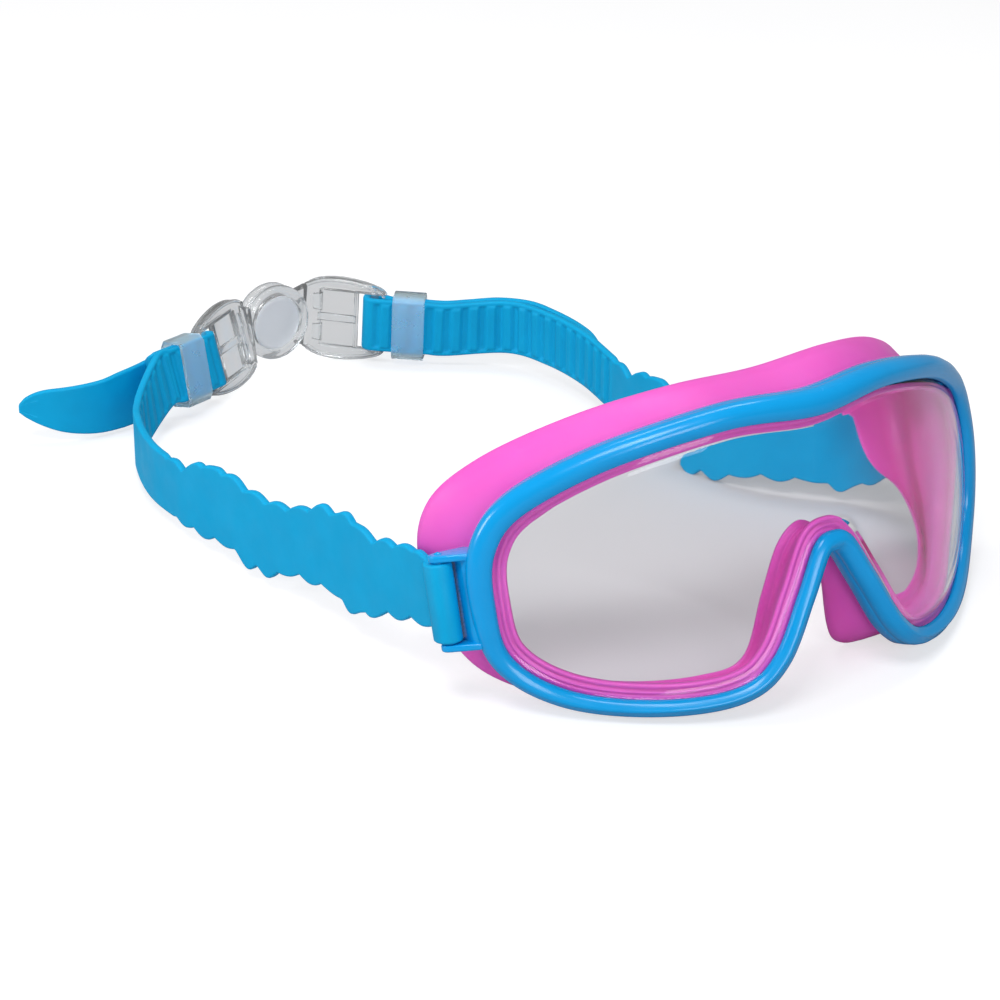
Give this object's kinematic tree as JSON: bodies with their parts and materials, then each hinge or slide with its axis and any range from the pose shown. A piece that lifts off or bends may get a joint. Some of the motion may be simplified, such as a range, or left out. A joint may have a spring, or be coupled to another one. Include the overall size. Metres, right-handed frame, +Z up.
{
  "type": "swim goggles",
  "caption": "Wide-view swim mask: one-piece lens in a glossy rim, soft face skirt, two scalloped and ribbed straps, sliding keepers and a clip clasp at the back.",
  "frame": {"origin": "on the surface the goggles lie on, at the middle of their footprint", "axes": "+X to the wearer's left, +Y from the lens back to the clasp, +Z up from the surface"},
  "size_m": [0.1668, 0.247, 0.0702],
  "materials": {
    "rim_blue": "glossy injection-moulded polycarbonate",
    "lens_clear": "clear polished polycarbonate",
    "skirt_pink": "soft satin silicone",
    "strap_blue": "matte silicone",
    "keeper_frost": "frosted soft vinyl",
    "clasp_clear": "clear polished polycarbonate",
    "button_frost": "frosted polycarbonate"
  },
  "bodies": {
    "mask": {"frame": "rim_blue", "lens": "lens_clear", "skirt": "skirt_pink"},
    "right_strap": {"strap_right": "strap_blue"},
    "left_strap": {"strap_left": "strap_blue"},
    "right_keeper": {"keeper_right": "keeper_frost"},
    "left_keeper": {"keeper_left": "keeper_frost"},
    "clasp_front": {"clasp_front_half": "clasp_clear", "clasp_button": "button_frost"},
    "clasp_back": {"clasp_back_half": "clasp_clear"}
  },
  "joints": [
    {"name": "right_strap_swing", "type": "hinge", "parent": "mask", "child": "right_strap", "pos_m": [-0.07133, -0.07545, 0.02502], "axis": [0, 0.2538, 0.9673], "range_deg": [0, 4]},
    {"name": "left_strap_swing", "type": "hinge", "parent": "mask", "child": "left_strap", "pos_m": [0.08047, -0.07545, 0.02502], "axis": [0, 0.2538, 0.9673], "range_deg": [-6.4, 0]},
    {"name": "right_keeper_slide", "type": "slide", "parent": "right_strap", "child": "right_keeper", "axis": [-0.9431, -0.3311, 0.0301], "range_m": [0, 0.002]},
    {"name": "left_keeper_slide", "type": "slide", "parent": "left_strap", "child": "left_keeper", "axis": [0.7684, -0.6387, -0.0399], "range_m": [0, 0.003]},
    {"name": "clasp_front_turn", "type": "hinge", "parent": "right_strap", "child": "clasp_front", "pos_m": [-0.02768, 0.10751, 0.01252], "axis": [-0.1456, 0.157, 0.9768], "range_deg": [-15, 0]},
    {"name": "clasp_back_turn", "type": "hinge", "parent": "left_strap", "child": "clasp_back", "pos_m": [0.0259, 0.10763, 0.01194], "axis": [0.0376, -0.0364, 0.9986], "range_deg": [-15, 0]}
  ],
  "couplings": [
    {"joint": "left_strap_swing", "follows": "right_strap_swing", "ratio": -1.6}
  ]
}
